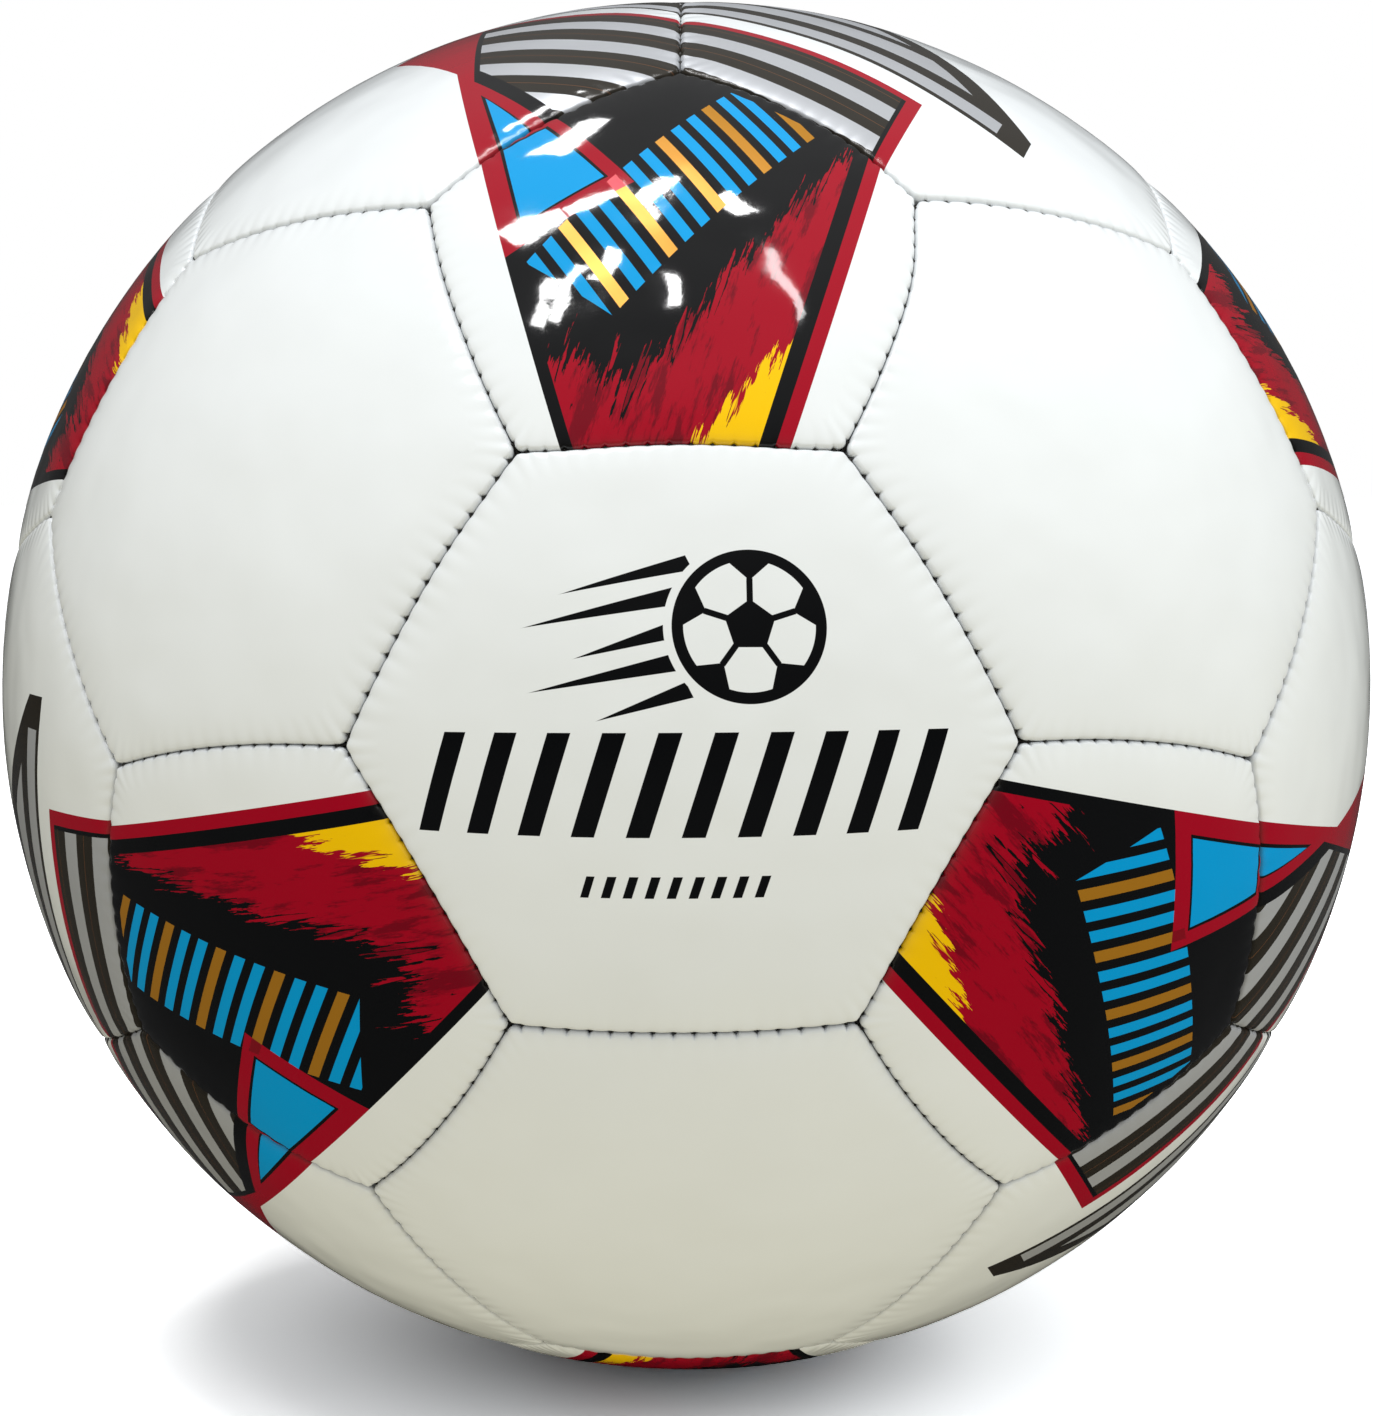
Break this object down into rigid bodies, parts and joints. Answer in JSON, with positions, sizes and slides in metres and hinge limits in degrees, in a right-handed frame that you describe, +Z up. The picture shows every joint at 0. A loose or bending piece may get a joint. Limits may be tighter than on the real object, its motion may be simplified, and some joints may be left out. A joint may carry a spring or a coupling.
{
  "type": "soccer ball",
  "caption": "Round soccer ball of pentagon and hexagon panels stitched over an air bladder, with a rubber inflation valve and pull-out plug.",
  "frame": {"origin": "centre of the ball", "axes": "+Z up; -Y out through the middle of the front hexagon, which has a pentagon above it; +Y out along the valve; X across, a two-fold axis of the panel layout"},
  "size_m": [0.2196, 0.2197, 0.2198],
  "materials": {
    "printed_skin": "glossy PVC skin printed in red, black, blue, gold and yellow",
    "white_skin": "glossy white PVC skin with a faint grain",
    "seam_thread": "waxed twisted polyester, matt",
    "bladder_rubber": "matt moulded rubber",
    "patch_cloth": "unbleached woven cotton",
    "valve_rubber": "satin black rubber"
  },
  "bodies": {
    "ball": {"pentagon_panel_01": "printed_skin", "pentagon_panel_02": "printed_skin", "pentagon_panel_03": "printed_skin", "pentagon_panel_04": "printed_skin", "pentagon_panel_05": "printed_skin", "pentagon_panel_06": "printed_skin", "pentagon_panel_07": "printed_skin", "pentagon_panel_08": "printed_skin", "pentagon_panel_09": "printed_skin", "pentagon_panel_10": "printed_skin", "pentagon_panel_11": "printed_skin", "pentagon_panel_12": "printed_skin", "hexagon_panel_01": "white_skin", "hexagon_panel_02": "white_skin", "hexagon_panel_03": "white_skin", "hexagon_panel_04": "white_skin", "hexagon_panel_05": "white_skin", "hexagon_panel_06": "white_skin", "hexagon_panel_07": "white_skin", "hexagon_panel_08": "white_skin", "hexagon_panel_09": "white_skin", "hexagon_panel_10": "white_skin", "hexagon_panel_11": "white_skin", "hexagon_panel_12": "white_skin", "hexagon_panel_13": "white_skin", "hexagon_panel_14": "white_skin", "hexagon_panel_15": "white_skin", "hexagon_panel_16": "white_skin", "hexagon_panel_17": "white_skin", "hexagon_panel_18": "white_skin", "hexagon_panel_19": "white_skin", "valve_panel": "white_skin", "seam_thread_01": "seam_thread", "seam_thread_02": "seam_thread", "seam_thread_03": "seam_thread", "seam_thread_04": "seam_thread", "seam_thread_05": "seam_thread", "seam_thread_06": "seam_thread", "seam_thread_07": "seam_thread", "seam_thread_08": "seam_thread", "seam_thread_09": "seam_thread", "seam_thread_10": "seam_thread", "seam_thread_11": "seam_thread", "seam_thread_12": "seam_thread", "bladder": "bladder_rubber", "valve_patch": "patch_cloth", "valve_housing": "valve_rubber"},
    "valve_plug": {"valve_core": "valve_rubber"}
  },
  "joints": [
    {"name": "valve_plug_pull", "type": "slide", "parent": "ball", "child": "valve_plug", "axis": [0, 1, 0], "range_m": [0, 0.024]}
  ]
}
